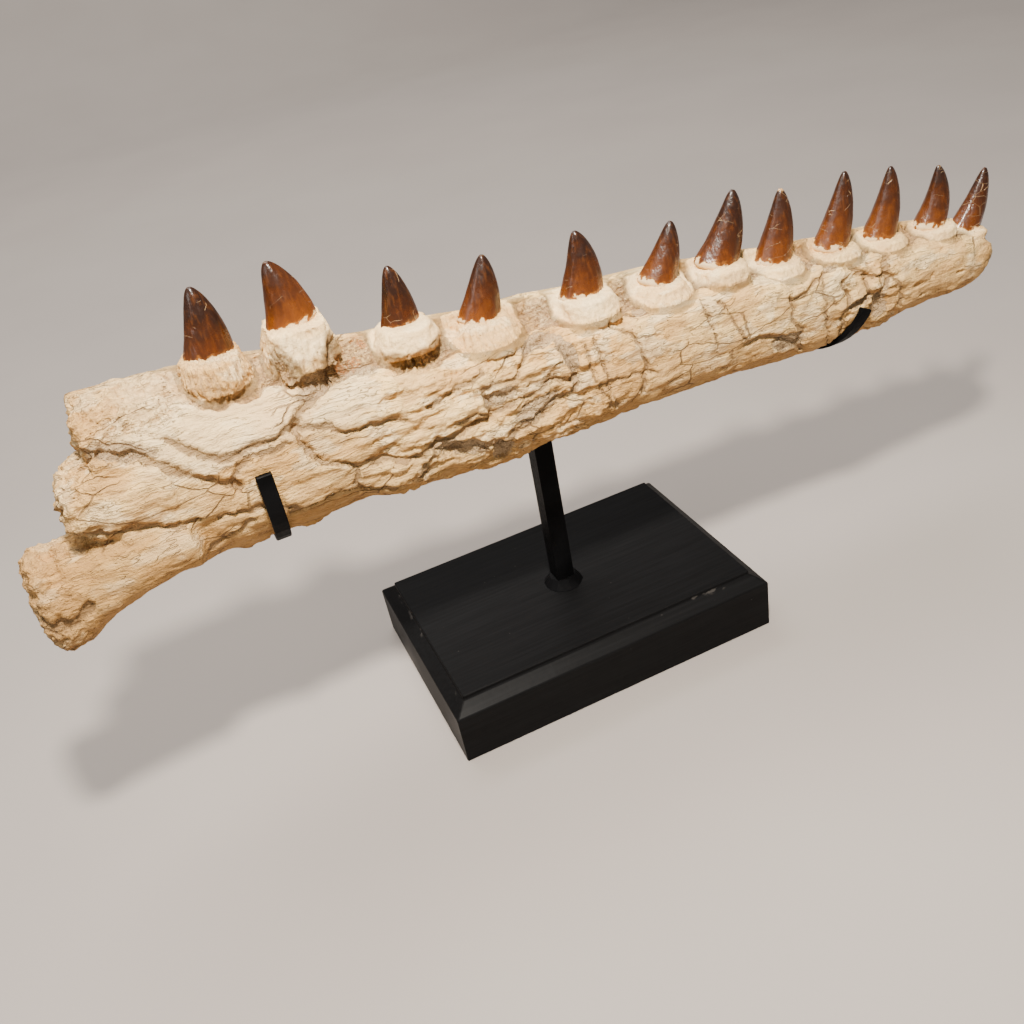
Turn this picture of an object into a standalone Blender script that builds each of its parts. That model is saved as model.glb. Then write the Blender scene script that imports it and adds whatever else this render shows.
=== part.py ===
"""Fossil mosasaur jaw on its display stand: one lower jaw bone with three broken lobes at the back and bony
pedestals along its crest, twelve enamel tooth crowns, two strap clips, a rail, a post and a painted board.

Lengths are in metres and the scene is +Z up. The origin is the middle of the board's underside, +X runs
along the jaw towards its tip, and -Y is the side that is shown to the viewer.
"""

import bmesh
import bpy
import numpy as np
from mathutils import Matrix, Vector, noise

MM = 0.001
FIT_GAP = 0.3 * MM  # left between two pieces that touch

# Board, post and rail
BOARD_LENGTH, BOARD_WIDTH = 220 * MM, 150 * MM
BOARD_SIDE_HEIGHT, BOARD_CHAMFER_TOP, BOARD_HEIGHT = 34.7 * MM, 40.6 * MM, 43.2 * MM
BOARD_INSET = 8.7 * MM
BAR = 12 * MM
POST_X, POST_Y = -2 * MM, -3 * MM
RAIL_BOTTOM = 176 * MM
# The weld bead round the post's foot: radius at its top, how much wider its foot is, height, and the size and
# height of its lumps
WELD_RADIUS, WELD_REACH, WELD_HEIGHT = 8.6 * MM, 4 * MM, 6 * MM
WELD_LUMP_SIZE, WELD_LUMP_HEIGHT, WELD_LUMP_SHARE = 6 * MM, 1.5 * MM, 0.12
WELD_SIDES = 16

# Clips, one strap each: where its front end stands along the jaw, how high that end reaches, and the
# strap's lean
STRAP_WIDTH, STRAP_THICKNESS = 8.0 * MM, 3.0 * MM
LEFT_CLIP = (-166 * MM, 229 * MM, 0.0)
RIGHT_CLIP = (191.5 * MM, 195 * MM, 0.5)
STRAP_STANDOFF = 0.6 * MM  # from the jaw's plain form
STRAP_BENDS, STRAP_LAST_BEND = 12, -95  # points round the jaw's section, and the last one's place in degrees
STRAP_LIP = 2.0  # millimetres of straight strap at the front end
RAIL_START, RAIL_END = -172 * MM, 166 * MM

# Jaw: a mid-plane, then stations along it in millimetres: place, underside, crest and half thickness
JAW_Y = -36 * MM
SECTION_POWER = 2.3  # 2 is an ellipse, more is boxier
BODY_STATIONS = (
    (-240, 177, 281, 30), (-200, 182, 279, 31), (-160, 181, 275.5, 30.7), (-120, 182, 269.5, 30.2),
    (-80, 176.5, 264.5, 29.8), (-40, 174, 260, 29.4), (0, 175.5, 256, 29), (40, 175, 251, 28.4),
    (80, 174.5, 249, 27.7), (120, 173, 243, 27.1), (160, 170, 235.5, 26.4), (200, 172, 230.5, 25.8),
    (240, 173.5, 224.5, 25.2), (280, 175.5, 216, 23.5), (312, 178, 206, 21),
)
LOBE_Y = -47 * MM  # the two lower lobes are broken flakes of the shown side
MIDDLE_LOBE_STATIONS = (
    (-257, 228, 246, 17), (-250, 221, 252, 20), (-237, 215, 257, 21), (-195, 215, 262, 22),
)
LOWER_LOBE_STATIONS = (
    (-287, 170, 213, 17), (-280, 167.5, 218, 20), (-268, 167.5, 219, 21), (-255, 175, 220, 21),
    (-240, 182, 222, 22), (-225, 185, 224, 23), (-195, 186, 226, 24),
)
BODY_ENDS = (-238, 4, 306, 24)  # start, length of its rounding, end, length of its rounding
MIDDLE_LOBE_ENDS = (-257.5, 5, -200, 8)
LOWER_LOBE_ENDS = (-286.5, 7, -200, 8)
LOBE_SPLITS = (256, 217)  # heights in millimetres between the upper, the middle and the lower lobe
# The front plate ends below the crest, and the teeth stand in the channel behind it: place along the jaw,
# and how far the plate's edge lies below the crest, in millimetres
EDGE_DROPS = (
    (-240, 1), (-200, 2), (-170, 6), (-120, 6), (-80, 9), (-40, 11), (0, 10), (40, 12), (80, 10), (120, 8),
    (160, 6.5), (200, 6), (240, 3.5), (270, 2), (290, 5), (312, 5),
)
EDGE_START, EDGE_FULL, WALL_START, WALL_TOP = 25, 60, 84, 102  # degrees round the section
RING_POINTS = 48
RING_STEP = 4.0  # millimetres between sections of the plain form
END_RINGS, END_TURN = 7, 0.15  # the rings that round an end off, and the angle of the first in radians

# Teeth in millimetres: base centre along the jaw, base height, tip along the jaw, tip height, base half
# width, sideways bow of the crown's middle, then the pedestal's half widths at its rim, its bulge and its
# foot, and its depth below the base
TEETH = (
    (-169, 281, -167, 314, 12.4, 1.5, 14, 16, 15, 17),
    (-127.5, 284.5, -131, 315, 13.0, 1.5, 14.5, 17, 17.5, 22),
    (-76, 266, -76, 296, 10.5, 1.0, 12.5, 17, 14, 15),
    (-35, 255, -27, 287, 12.0, 1.5, 13, 16.5, 20, 12),
    (24, 250, 25, 284, 13.0, 2.5, 14, 16, 17.5, 12),
    (70, 242, 82, 273, 11.8, 2.0, 13, 15.5, 17, 10),
    (108, 240.5, 122, 279, 13.5, 3.0, 14.5, 16, 15.5, 9),
    (146, 231, 153, 271, 12.3, 2.5, 13, 14.5, 16, 8),
    (187, 227, 197, 269, 11.8, 2.5, 13, 15, 15, 6),
    (222, 222.5, 230, 263, 11.5, 3.0, 12.5, 14, 14, 6),
    (261, 219, 266, 254, 11.0, 3.5, 12, 13, 13, 7),
    (289, 208, 303, 243, 10.5, 2.5, 10.5, 10.5, 10, 6),
)
PEDESTAL_Y = -39 * MM
PEDESTAL_DEPTH_SHARE = 1.12  # a pedestal's size across the jaw against its size along it
CROWN_DEPTH_SHARE = 0.82  # a crown's size across the jaw against its size along it
CROWN_TAPER = 0.55
CROWN_SINK = 2.0  # millimetres that a crown's root stands in its pedestal
CROWN_RINGS, CROWN_SIDES = 7, 14
CROWN_LAST_RING, CROWN_RING_POWER = 0.12, 1.3  # the last ring's share of the way from the tip, and spacing
ROOT_SHARE = 0.9  # the root's width against the base's
CARINA_POWER = 1.8  # under 2 gives the crown a blunt edge in front and behind
SOCKET_EASE = 0.1
PEDESTAL_RIM = 1.0  # millimetres that a pedestal's rim stands above the crown's base
PEDESTAL_ROOT, PEDESTAL_ROOT_SHARE = 8.0, 0.6  # millimetres that it runs on in the bone, and its width there
PEDESTAL_SIDES = 28

# Relief
FORM_VOXEL = 3.0 * MM
JAW_TRIANGLES = 4920
MM_PER_DEGREE = 0.7  # round the jaw's section, for distances on its surface
LEDGE_REACH = 7.0
BACK_FROM = 112  # degrees round the section where the far side's own relief starts

# Grooves between the plates of bone, on the side that is shown. Each has a half width and a depth in
# millimetres, the ledge by which the bone above it stands proud, and its points: place along the jaw in
# millimetres, and degrees round the section, with 0 at the front and 90 on the crest
GROOVES = (
    (2.6, 3.0, 1.0, ((-240, 42), (-230, 38), (-215, 31), (-207, 22), (-200, 13), (-193, 8), (-186, 2),
                     (-179, -4))),
    (1.8, 1.6, 1.0, ((-200, 33), (-188, 19), (-178, 15), (-160, 17), (-150, 21), (-144, 24))),
    (2.4, 2.2, 0.8, ((-258, 2), (-250, 0), (-238, -4), (-225, -8), (-212, -14), (-200, -16))),
    (1.6, 1.4, 0.5, ((-180, -4), (-176, 8), (-168, 11), (-152, 13))),
    (1.5, 1.2, 0.4, ((-192, -20), (-180, -21), (-168, -23), (-156, -30))),
    (2.2, 3.0, 0.0, ((-286, -37), (-270, -37), (-261, -34))),
    (1.4, 1.0, 0.3, ((-202, -43), (-185, -35), (-178, -30))),
    (2.4, 2.4, 1.2, ((-144, 24), (-140, 30), (-134, 34), (-128, 41), (-122, 50), (-116, 57), (-110, 66))),
    (1.6, 1.5, 0.8, ((-145, 20), (-137, 20), (-130, 17), (-124, 12), (-115, 10), (-105, 11), (-98, 13),
                     (-92, 9))),
    (2.0, 2.0, -0.8, ((-145, 17), (-143, 8), (-141, 0), (-136, -7), (-130, -11), (-120, -16), (-108, -17),
                      (-98, -20), (-88, -20), (-80, -13), (-70, -13), (-58, -8), (-50, -7))),
    (1.6, 1.6, 0.5, ((-160, -34), (-140, -34), (-130, -35), (-118, -40), (-97, -43), (-90, -40), (-86, -28),
                     (-80, -19))),
    (1.4, 1.2, 0.3, ((-123, -15), (-122, -22), (-124, -30), (-121, -38))),
    (3.2, 1.8, 0.4, ((-80, -16), (-68, -24), (-56, -27), (-47, -26), (-42, -36), (-43, -48))),
    (1.8, 1.6, 0.9, ((-50, -6), (-47, 0), (-49, 8), (-50, 15), (-45, 17), (-32, 17), (-26, 24), (-22, 35),
                     (-16, 43), (-8, 49))),
    (1.6, 1.6, 0.7, ((-78, 14), (-70, 18), (-62, 21), (-54, 23), (-47, 29))),
    (1.6, 1.4, -0.6, ((-66, -3), (-55, -1), (-45, -2), (-35, 0), (-24, 3), (-14, 6))),
    (2.2, 2.0, 0.9, ((-44, -28), (-35, -22), (-20, -17), (-10, -10), (-1, -8), (3, -2), (1, 12), (0, 24),
                     (-2, 35))),
    (1.6, 1.5, 0.6, ((-24, 10), (-12, 9), (-7, 4), (2, 3))),
    (1.0, 1.0, 0.2, ((10, 30), (12, 20), (11, 10), (13, 0), (16, -12), (19, -22), (21, -32))),
    (1.0, 1.0, -0.2, ((17, 30), (17, 20), (19, 10), (20, 0), (21, -12), (23, -25), (25, -35))),
    (1.3, 1.5, 0.4, ((28, 40), (33, 32), (38, 25), (41, 18), (42, 8), (44, 0), (44, -8), (41, -15),
                     (41, -30))),
    (1.0, 1.0, 0.4, ((14, -8), (22, -7), (30, -9), (38, -8), (52, -13))),
    (1.4, 1.4, 0.6, ((42, 52), (50, 45), (58, 43), (65, 40))),
    (1.0, 0.8, 0.2, ((83, 33), (86, 20), (88, 0), (89, -10))),
    (1.0, 0.9, 0.2, ((95, 32), (98, 22), (101, 10), (105, 0), (107, -10))),
    (2.2, 1.6, 0.8, ((110, -15), (118, -12), (126, -15), (134, -18), (140, -26), (147, -34), (152, -46))),
    (2.2, 1.6, -0.5, ((140, 20), (142, 10), (141, 0), (143, -8), (148, -17), (146, -28))),
    (1.8, 1.5, 0.6, ((140, 18), (148, 20), (153, 25), (160, 33), (170, 42))),
    (2.0, 2.2, 0.9, ((176, 52), (182, 42), (186, 35), (190, 30), (195, 24), (200, 20), (210, 18))),
    (0.9, 0.8, 0.2, ((163, 32), (163, 20), (164, 5), (163, -8), (166, -20), (168, -32), (172, -52))),
    (1.4, 1.2, 0.5, ((176, 26), (179, 12), (181, 3), (176, -6), (177, -25), (178, -40))),
    (2.2, 1.8, 0.8, ((181, -7), (190, -5), (196, 0), (195, 8), (194, 18))),
    (2.4, 1.6, 0.6, ((208, 60), (211, 40), (209, 25), (210, 10), (206, 0), (203, -12), (205, -28))),
    (1.4, 1.2, 0.4, ((212, 15), (216, 5), (219, -5), (221, -18), (221, -32))),
)
# Pits in millimetres: half length, half width, depth, then their place as for a groove
PITS = (
    (4.5, 2.2, 3.0, 233, -7), (3.0, 1.8, 1.8, 265, -8), (1.6, 1.4, 1.2, 235, 17), (1.2, 3.0, 1.2, 243, -1),
    (2.5, 1.6, 1.4, 237, -26), (1.4, 1.4, 1.0, 253, 33), (4.0, 3.0, 2.0, 281, 52), (2.4, 2.0, 1.6, 200, 39),
    (2.4, 1.8, 1.6, -194, 47), (3.0, 2.4, 2.0, -258, 16), (4.0, 2.6, 2.2, -270, -20),
    (3.0, 2.2, 1.8, -246, 22),
)
BACK_SHIFT = 34  # millimetres: the far side repeats the grooves turned end for end about this place
LUMP_SIZE, LUMP_HEIGHT = 26 * MM, 1.5  # the height in millimetres, here and below
BREAK_SIZE, BREAK_HEIGHT = 7 * MM, 2.4
ROUGHNESS, OCTAVES = (0.8, 2.0), 3  # of the noise that makes both
BREAK_REACH = 22  # millimetres that broken bone runs in from the back end of each lobe

COLLECTION_NAME = "fossil_mosasaur_jaw"


def clear_scene():
    for obj in list(bpy.data.objects):
        bpy.data.objects.remove(obj, do_unlink=True)


def new_collection(name, hidden=False):
    made = bpy.data.collections.new(name)
    made.hide_render = hidden
    bpy.context.scene.collection.children.link(made)
    return made


def material(name, colour, roughness, metallic=0.0):
    made = bpy.data.materials.new(name)
    made.use_nodes = True
    shader = made.node_tree.nodes["Principled BSDF"]
    shader.inputs["Base Color"].default_value = (*colour, 1.0)
    shader.inputs["Roughness"].default_value = roughness
    shader.inputs["Metallic"].default_value = metallic
    return made


def mesh_object(name, mesh, collection, finish=None):
    made = bpy.data.objects.new(name, mesh)
    collection.objects.link(made)
    if finish:
        mesh.materials.clear()
        mesh.materials.append(finish)
    return made


def object_from(bm, name, collection, finish=None):
    """A new object that takes the edit mesh, with its faces turned outwards."""
    bmesh.ops.recalc_face_normals(bm, faces=bm.faces)
    mesh = bpy.data.meshes.new(name)
    bm.to_mesh(mesh)
    bm.free()
    return mesh_object(name, mesh, collection, finish)


def evaluated_copy(obj, name, collection):
    """The object's mesh with its modifiers applied, as a new object in its place."""
    bpy.context.view_layer.update()
    graph = bpy.context.evaluated_depsgraph_get()
    mesh = bpy.data.meshes.new_from_object(obj.evaluated_get(graph))
    mesh.transform(obj.matrix_world)
    bpy.data.objects.remove(obj, do_unlink=True)
    return mesh_object(name, mesh, collection)


def combine(obj, tool, operation):
    """Joins the tool to the object or takes it away, and leaves the tool out of the part."""
    tool.hide_render = True
    tool.display_type = "WIRE"
    boolean = obj.modifiers.new(tool.name, "BOOLEAN")
    boolean.operation = operation
    boolean.object = tool


def add_bevel(obj, width, segments=2):
    bevel = obj.modifiers.new("rounded edges", "BEVEL")
    bevel.width = width
    bevel.segments = segments
    bevel.limit_method = "ANGLE"


def smooth_curve(stations, x):
    """The stations' other columns at x, along a smooth curve through them."""
    table = np.array(stations, float)
    places, values = table[:, 0], table[:, 1:]
    slopes = np.gradient(values, places, axis=0)
    x = np.clip(x, places[0], places[-1])
    i = int(np.clip(np.searchsorted(places, x) - 1, 0, len(places) - 2))
    step = places[i + 1] - places[i]
    t = (x - places[i]) / step
    return (
        (2 * t**3 - 3 * t**2 + 1) * values[i]
        + (t**3 - 2 * t**2 + t) * step * slopes[i]
        + (3 * t**2 - 2 * t**3) * values[i + 1]
        + (t**3 - t**2) * step * slopes[i + 1]
    )


def smooth_step(low, high, value):
    """0 below low, 1 above high, and a smooth rise between."""
    share = np.clip((value - low) / (high - low), 0, 1)
    return share * share * (3 - 2 * share)


def section_point(middle, half_height, half_thickness, angle, mid_plane=JAW_Y):
    """A section's point across and up, in millimetres. The angle round it is 0 at the front and 90 degrees at
    the crest."""
    forward, up = np.cos(angle), np.sin(angle)
    reach = (abs(forward) ** SECTION_POWER + abs(up) ** SECTION_POWER) ** (-1 / SECTION_POWER)
    return mid_plane / MM - half_thickness * reach * forward, middle + half_height * reach * up


def loft(bm, stations, ends, mid_plane=JAW_Y, edge_drops=((0, 0),)):
    """A closed form lofted through the stations, rounded off at both ends. Edge drops lower the front of its
    top."""
    start, start_round, end, end_round = ends
    turn = np.linspace(END_TURN, np.pi / 2, END_RINGS)
    places = np.concatenate([
        start + start_round * (1 - np.cos(turn)),
        np.arange(start + start_round + RING_STEP, end - end_round, RING_STEP),
        end - end_round * (1 - np.cos(turn[::-1])),
    ])
    angles = np.linspace(0, 2 * np.pi, RING_POINTS, endpoint=False)
    degrees = np.degrees(angles)
    lowered = smooth_step(EDGE_START, EDGE_FULL, degrees) * (1 - smooth_step(WALL_START, WALL_TOP, degrees))
    rings = []
    for x in places:
        low, high, half_thickness = smooth_curve(stations, x)
        past = max((start + start_round - x) / start_round, (x - end + end_round) / end_round, 0.0)
        shrink = np.sqrt(1 - past**2)
        middle, half_height = (low + high) / 2, (high - low) / 2
        sizes = middle, half_height * shrink, half_thickness * shrink
        drop = np.interp(x, *np.array(edge_drops, float).T) * shrink
        ring = []
        for angle, share in zip(angles, lowered):
            y, z = section_point(*sizes, angle, mid_plane)
            ring.append(bm.verts.new((x * MM, y * MM, (z - drop * share) * MM)))
        rings.append(ring)
    close_rings(bm, rings)


def close_rings(bm, rings):
    """Sides between one ring of vertices and the next, and a cap on each end."""
    for near, far in zip(rings, rings[1:]):
        for k in range(len(near)):
            m = (k + 1) % len(near)
            bm.faces.new((near[k], near[m], far[m], far[k]))
    bm.faces.new(rings[0])
    bm.faces.new(rings[-1])


def add_pedestal(bm, tooth):
    """A stub of bone of attachment below the tooth's base: a rim, a bulge and a foot inside the jaw."""
    base_x, base_z, _, _, _, _, rim, bulge, foot, depth = tooth
    outline = (
        (PEDESTAL_RIM, rim - 1), (PEDESTAL_RIM / 2, rim), (-depth / 2, bulge), (-depth, foot),
        (-depth - PEDESTAL_ROOT, foot * PEDESTAL_ROOT_SHARE),
    )
    angles = np.linspace(0, 2 * np.pi, PEDESTAL_SIDES, endpoint=False)
    rings = []
    for rise, half_width in outline:
        ring = []
        for angle in angles:
            x = base_x + half_width * np.cos(angle)
            y = PEDESTAL_Y / MM + half_width * PEDESTAL_DEPTH_SHARE * np.sin(angle)
            ring.append(bm.verts.new((x * MM, y * MM, (base_z + rise) * MM)))
        rings.append(ring)
    close_rings(bm, rings)


def section_coordinates(points):
    """For points in millimetres: places along the jaw, and degrees round its section from the front."""
    along = points[:, 0]
    steps = np.arange(LOWER_LOBE_ENDS[0], BODY_ENDS[2] + RING_STEP, RING_STEP)
    table = np.array([smooth_curve(BODY_STATIONS, x) for x in steps])
    low, high, half_thickness = (np.interp(along, steps, values) for values in table.T)
    up = (points[:, 2] - (low + high) / 2) / ((high - low) / 2)
    forward = (JAW_Y / MM - points[:, 1]) / half_thickness
    return along, np.degrees(np.arctan2(up, forward))


def relief(points):
    """How far each point of the plain form moves out along its normal, in millimetres."""
    along, degrees = section_coordinates(points)
    behind = (degrees > BACK_FROM) | (degrees < BACK_FROM - 180)
    far_side = np.where(degrees > 0, 180 - degrees, -180 - degrees)
    u = np.where(behind, BACK_SHIFT - along, along)
    v = np.where(behind, far_side, degrees) * MM_PER_DEGREE
    height = np.zeros(len(points))
    for half_width, depth, ledge, route in GROOVES:
        ends = np.array(route, float) * (1, MM_PER_DEGREE)
        nearest = np.full(len(points), 1e3)
        side = np.zeros(len(points))
        for (x0, y0), (x1, y1) in zip(ends, ends[1:]):
            dx, dy = x1 - x0, y1 - y0
            share = np.clip(((u - x0) * dx + (v - y0) * dy) / (dx * dx + dy * dy), 0, 1)
            off_x, off_y = u - x0 - share * dx, v - y0 - share * dy
            away = np.hypot(off_x, off_y)
            closer = away < nearest
            nearest = np.where(closer, away, nearest)
            side = np.where(closer, np.sign(off_y * dx - off_x * dy), side)
        height -= depth * np.exp(-((nearest / half_width) ** 2))
        height += ledge * side * np.exp(-nearest / LEDGE_REACH) * np.clip(nearest / half_width, 0, 1) / 2
    for half_length, half_width, depth, x, degree in PITS:
        far = ((u - x) / half_length) ** 2 + ((v - degree * MM_PER_DEGREE) / half_width) ** 2
        height -= depth * np.exp(-far)
    above = [points[:, 2] > split for split in LOBE_SPLITS]
    lobe_end = np.select(above, [BODY_ENDS[0], MIDDLE_LOBE_ENDS[0]], LOWER_LOBE_ENDS[0])
    broken = np.clip(1 - (along - lobe_end) / BREAK_REACH, 0, 1)
    for i, point in enumerate(points * MM):
        height[i] += LUMP_HEIGHT * noise.fractal(Vector(point / LUMP_SIZE), *ROUGHNESS, OCTAVES)
        if broken[i] > 0:
            crumbs = noise.fractal(Vector(point / BREAK_SIZE), *ROUGHNESS, OCTAVES)
            height[i] += broken[i] * BREAK_HEIGHT * crumbs
    return height


def jaw_form(collection):
    """The jaw and its pedestals as one closed form with relief, before the triangles are thinned out."""
    bm = bmesh.new()
    loft(bm, BODY_STATIONS, BODY_ENDS, edge_drops=EDGE_DROPS)
    loft(bm, MIDDLE_LOBE_STATIONS, MIDDLE_LOBE_ENDS, LOBE_Y)
    loft(bm, LOWER_LOBE_STATIONS, LOWER_LOBE_ENDS, LOBE_Y)
    for tooth in TEETH:
        add_pedestal(bm, tooth)
    plain = object_from(bm, "plain_form", collection)
    remesh = plain.modifiers.new("one skin", "REMESH")
    remesh.mode = "VOXEL"
    remesh.voxel_size = FORM_VOXEL
    form = evaluated_copy(plain, "jaw_bone", collection)
    mesh = form.data
    points = np.empty(len(mesh.vertices) * 3)
    normals = np.empty(len(mesh.vertices) * 3)
    mesh.vertices.foreach_get("co", points)
    mesh.vertices.foreach_get("normal", normals)
    points, normals = points.reshape(-1, 3), normals.reshape(-1, 3)
    moved = points + normals * relief(points / MM)[:, None] * MM
    mesh.vertices.foreach_set("co", moved.ravel())
    mesh.update()
    return form


def crown_mesh(tooth, grow=0.0):
    """A recurved crown on its base ring, in an edit mesh. Grow thickens it all over, for its socket."""
    base_x, base_z, tip_x, tip_z, half_width, bow, *_ = tooth
    base = np.array((base_x, JAW_Y / MM, base_z), float)
    tip = np.array((tip_x, JAW_Y / MM, tip_z), float)
    length = np.linalg.norm(tip - base)
    axis = (tip - base) / length
    across = np.array((0, 1, 0), float)
    along = np.cross(across, axis)
    bm = bmesh.new()
    rings = []
    spread = 1 - np.linspace(1, CROWN_LAST_RING, CROWN_RINGS) ** CROWN_RING_POWER
    heights = np.concatenate([[-(CROWN_SINK + grow) / length], spread])
    angles = np.linspace(0, 2 * np.pi, CROWN_SIDES, endpoint=False)
    for share in heights:
        width = (half_width * (1 - max(share, 0)) ** CROWN_TAPER + grow) * (1 if share >= 0 else ROOT_SHARE)
        middle = base + axis * length * share + along * bow * 4 * max(share, 0) * (1 - share)
        ring = []
        for angle in angles:
            c, s = np.cos(angle), np.sin(angle)
            reach = (abs(c) ** CARINA_POWER + abs(s) ** CARINA_POWER) ** (-1 / CARINA_POWER)
            point = middle + reach * width * (along * c + across * s * CROWN_DEPTH_SHARE)
            ring.append(bm.verts.new(point * MM))
        rings.append(ring)
    for near, far in zip(rings, rings[1:]):
        for k in range(CROWN_SIDES):
            m = (k + 1) % CROWN_SIDES
            bm.faces.new((near[k], near[m], far[m], far[k]))
    bm.faces.new(rings[0])
    top = bm.verts.new((tip + axis * grow) * MM)
    for k in range(CROWN_SIDES):
        bm.faces.new((rings[-1][k], rings[-1][(k + 1) % CROWN_SIDES], top))
    return bm


def add_teeth(jaw, parts, cutters, finish):
    """The twelve crowns, each in a socket cut in its pedestal."""
    sockets = bmesh.new()
    for number, tooth in enumerate(TEETH, 1):
        crown = object_from(crown_mesh(tooth), f"tooth_crown_{number:02d}", parts, finish)
        crown.data.shade_smooth()
        grown = bpy.data.meshes.new("grown")
        cutter = crown_mesh(tooth, FIT_GAP / MM + SOCKET_EASE)
        bmesh.ops.recalc_face_normals(cutter, faces=cutter.faces)
        cutter.to_mesh(grown)
        cutter.free()
        sockets.from_mesh(grown)
        bpy.data.meshes.remove(grown)
    mesh = bpy.data.meshes.new("sockets")
    sockets.to_mesh(mesh)
    sockets.free()
    combine(jaw, mesh_object("sockets", mesh, cutters), "DIFFERENCE")


def add_jaw(parts, finish):
    jaw = jaw_form(parts)
    jaw.data.materials.append(finish)
    thin = jaw.modifiers.new("fewer faces", "DECIMATE")
    jaw.data.calc_loop_triangles()
    thin.ratio = JAW_TRIANGLES / len(jaw.data.loop_triangles)
    thin.use_collapse_triangulate = True
    return jaw


def add_board(parts, finish):
    """A slab whose top is drawn in by a chamfer and then steps up to a flat panel."""
    bm = bmesh.new()
    bmesh.ops.create_cube(bm, size=1.0)
    bmesh.ops.scale(bm, vec=(BOARD_LENGTH, BOARD_WIDTH, BOARD_SIDE_HEIGHT), verts=bm.verts)
    bmesh.ops.translate(bm, vec=(0, 0, BOARD_SIDE_HEIGHT / 2), verts=bm.verts)
    bm.normal_update()
    top = max(bm.faces, key=lambda face: face.calc_center_median().z)
    chamfer_rise = BOARD_CHAMFER_TOP - BOARD_SIDE_HEIGHT
    bmesh.ops.inset_region(bm, faces=[top], thickness=BOARD_INSET, depth=chamfer_rise, use_even_offset=True)
    panel = bmesh.ops.extrude_discrete_faces(bm, faces=[top])["faces"][0]
    bmesh.ops.translate(bm, vec=(0, 0, BOARD_HEIGHT - BOARD_CHAMFER_TOP), verts=panel.verts)
    board = object_from(bm, "base_board", parts, finish)
    add_bevel(board, 0.8 * MM)
    return board


def bar_mesh(size, centre):
    bm = bmesh.new()
    bmesh.ops.create_cube(bm, size=1.0)
    bmesh.ops.scale(bm, vec=size, verts=bm.verts)
    bmesh.ops.translate(bm, vec=centre, verts=bm.verts)
    return bm


def add_post(parts, cutters, finish):
    """A square bar with a lumpy bead of weld round its foot."""
    foot = BOARD_HEIGHT + FIT_GAP
    height = RAIL_BOTTOM - FIT_GAP - foot
    bar = bar_mesh((BAR, BAR, height), (POST_X, POST_Y, foot + height / 2))
    post = object_from(bar, "post", parts, finish)
    bead = bmesh.new()
    bmesh.ops.create_cone(
        bead,
        cap_ends=True,
        segments=WELD_SIDES,
        radius1=WELD_RADIUS + WELD_REACH,
        radius2=WELD_RADIUS,
        depth=WELD_HEIGHT,
        matrix=Matrix.Translation((POST_X, POST_Y, foot + WELD_HEIGHT / 2)),
    )
    for vert in bead.verts:
        if vert.co.z > foot + WELD_HEIGHT / 2:
            vert.co.z += WELD_LUMP_HEIGHT * noise.noise(vert.co / WELD_LUMP_SIZE)
        else:
            out = 1 + WELD_LUMP_SHARE * noise.noise(vert.co / WELD_LUMP_SIZE)
            vert.co.x = POST_X + (vert.co.x - POST_X) * out
            vert.co.y = POST_Y + (vert.co.y - POST_Y) * out
    combine(post, object_from(bead, "weld_bead", cutters), "UNION")


def strap_route(x, tip_height):
    """The middle of a clip's strap, from its front end down round the jaw and back under the rail."""
    low, high, half_thickness = smooth_curve(BODY_STATIONS, x / MM)
    middle, half_height = (low + high) / 2, (high - low) / 2
    away = (STRAP_STANDOFF + STRAP_THICKNESS / 2) / MM
    angles = np.radians(np.linspace(0, STRAP_LAST_BEND, STRAP_BENDS))
    round_jaw = [section_point(middle, half_height + away, half_thickness + away, angle) for angle in angles]
    below_tip = [point for point in round_jaw if point[1] < tip_height / MM - STRAP_LIP]
    under_rail = (RAIL_BOTTOM - FIT_GAP - STRAP_THICKNESS / 2) / MM
    last = [((POST_Y - BAR / 2) / MM, under_rail), ((POST_Y + BAR / 2) / MM, under_rail)]
    return np.array([(below_tip[0][0], tip_height / MM), *below_tip, *last])


def strap(name, x, tip_height, lean, grow, collection, finish=None):
    """A flat strap bent along its route. Lean is how far it runs back along the jaw for each step of its
    length, and grow thickens it all over, for the space that it takes."""
    route = strap_route(x, tip_height)
    steps = np.hypot(*np.diff(route, axis=0).T)
    run = np.concatenate([[0], np.cumsum(steps)])
    bm = bmesh.new()
    middle = [Vector((x - lean * far * MM, y * MM, z * MM)) for far, (y, z) in zip(run, route)]
    edges = []
    for k, point in enumerate(middle):
        along = (middle[min(k + 1, len(middle) - 1)] - middle[max(k - 1, 0)]).normalized()
        outward = along.cross(Vector((1, 0, 0))).normalized()
        across = along.cross(outward).normalized()
        edges.append([bm.verts.new(point + side * across * (STRAP_WIDTH / 2 + grow)) for side in (-1, 1)])
    for near, far in zip(edges, edges[1:]):
        bm.faces.new((near[0], near[1], far[1], far[0]))
    bent = object_from(bm, name, collection, finish)
    shell = bent.modifiers.new("thickness", "SOLIDIFY")
    shell.thickness = STRAP_THICKNESS + 2 * grow
    shell.offset = 0
    shell.use_even_offset = True
    return bent


def add_clip(name, jaw, place, parts, cutters, finish):
    """A clip, and the space for it where the jaw's relief would touch it."""
    add_bevel(strap(name, *place, 0.0, parts, finish), 0.5 * MM, 1)
    space = strap(f"{name}_space", *place, FIT_GAP, cutters)
    combine(jaw, space, "DIFFERENCE")


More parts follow.
